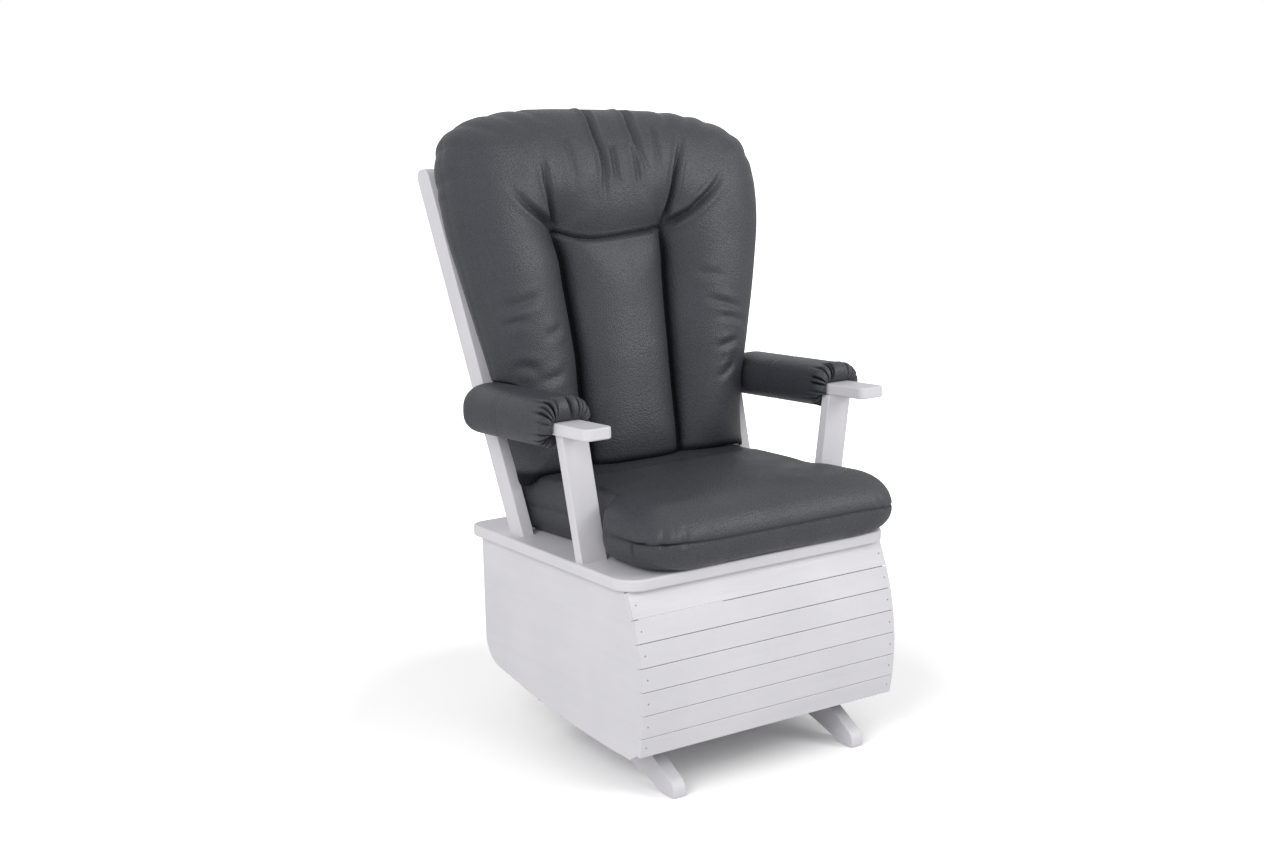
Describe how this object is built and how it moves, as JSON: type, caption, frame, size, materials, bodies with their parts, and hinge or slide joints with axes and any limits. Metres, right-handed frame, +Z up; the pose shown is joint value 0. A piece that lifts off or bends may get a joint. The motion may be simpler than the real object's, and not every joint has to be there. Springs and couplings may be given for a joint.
{
  "type": "glider nursery chair",
  "caption": "Glider nursery chair: a white slatted box seat hung on swinging links over a runner base, with a reclined back, leaning arm posts, dark stuffed cushions and slip-on arm pads.",
  "frame": {"origin": "on the floor under the middle of the chair's outer box", "axes": "+Z up, the sitter faces -Y, +X to the right of someone who looks at the front"},
  "size_m": [0.6658, 0.6061, 1.063],
  "materials": {
    "white_wood": "satin white paint on wood",
    "upholstery": "pebbled dark grey coated cloth over soft fill",
    "steel": "zinc plated",
    "bumper_rubber": "moulded black rubber",
    "glide_plastic": "plain grey"
  },
  "bodies": {
    "base": {"left_runner": "white_wood", "right_runner": "white_wood", "rear_foot": "white_wood", "left_front_upright": "white_wood", "right_front_upright": "white_wood", "left_rear_upright": "white_wood", "right_rear_upright": "white_wood", "left_top_rail": "white_wood", "right_top_rail": "white_wood", "front_stretcher": "white_wood", "rear_stretcher": "white_wood", "foot_glides": "glide_plastic", "stop_bumpers": "bumper_rubber", "stretcher_screws": "steel", "base_pivot_bolts": "steel", "base_pivot_nuts": "steel", "base_spacers": "steel", "base_inner_races": "steel"},
    "front_left_link": {"front_left_hanger": "white_wood", "front_left_bearings": "steel"},
    "front_right_link": {"front_right_hanger": "white_wood", "front_right_bearings": "steel"},
    "rear_left_link": {"rear_left_hanger": "white_wood", "rear_left_bearings": "steel"},
    "rear_right_link": {"rear_right_hanger": "white_wood", "rear_right_bearings": "steel"},
    "seat": {"back_cushion": "upholstery", "back_low_rail": "white_wood", "back_slats": "white_wood", "back_top_rail": "white_wood", "deck_screws": "steel", "front_deck_cleat": "white_wood", "front_slat_1": "white_wood", "front_slat_2": "white_wood", "front_slat_3": "white_wood", "front_slat_4": "white_wood", "front_slat_5": "white_wood", "front_slat_6": "white_wood", "front_slat_7": "white_wood", "left_arm_board": "white_wood", "left_arm_pad": "upholstery", "left_arm_post": "white_wood", "left_back_stile": "white_wood", "left_carrier_rail": "white_wood", "left_side_panel": "white_wood", "rear_deck_cleat": "white_wood", "rear_panel": "white_wood", "right_arm_board": "white_wood", "right_arm_pad": "upholstery", "right_arm_post": "white_wood", "right_back_stile": "white_wood", "right_carrier_rail": "white_wood", "right_side_panel": "white_wood", "seat_cushion": "upholstery", "seat_deck": "white_wood", "seat_inner_races": "steel", "seat_inserts": "steel", "seat_pivot_bolts": "steel", "seat_spacers": "steel", "slat_nails": "steel"}
  },
  "joints": [
    {"name": "front_left_swing", "type": "hinge", "parent": "base", "child": "front_left_link", "pos_m": [-0.215, -0.15164, 0.308], "axis": [1, 0, 0], "range_deg": [-15, 15]},
    {"name": "front_right_swing", "type": "hinge", "parent": "base", "child": "front_right_link", "pos_m": [0.215, -0.15164, 0.308], "axis": [1, 0, 0], "range_deg": [-15, 15]},
    {"name": "rear_left_swing", "type": "hinge", "parent": "base", "child": "rear_left_link", "pos_m": [-0.215, 0.05836, 0.308], "axis": [1, 0, 0], "range_deg": [-15, 15]},
    {"name": "rear_right_swing", "type": "hinge", "parent": "base", "child": "rear_right_link", "pos_m": [0.215, 0.05836, 0.308], "axis": [1, 0, 0], "range_deg": [-15, 15]},
    {"name": "seat_level", "type": "hinge", "parent": "front_left_link", "child": "seat", "pos_m": [-0.215, -0.15164, 0.138], "axis": [1, 0, 0], "range_deg": [-15, 15]}
  ],
  "couplings": [
    {"joint": "front_right_swing", "follows": "front_left_swing", "ratio": 1},
    {"joint": "rear_left_swing", "follows": "front_left_swing", "ratio": 1},
    {"joint": "rear_right_swing", "follows": "front_left_swing", "ratio": 1},
    {"joint": "seat_level", "follows": "front_left_swing", "ratio": -1}
  ]
}
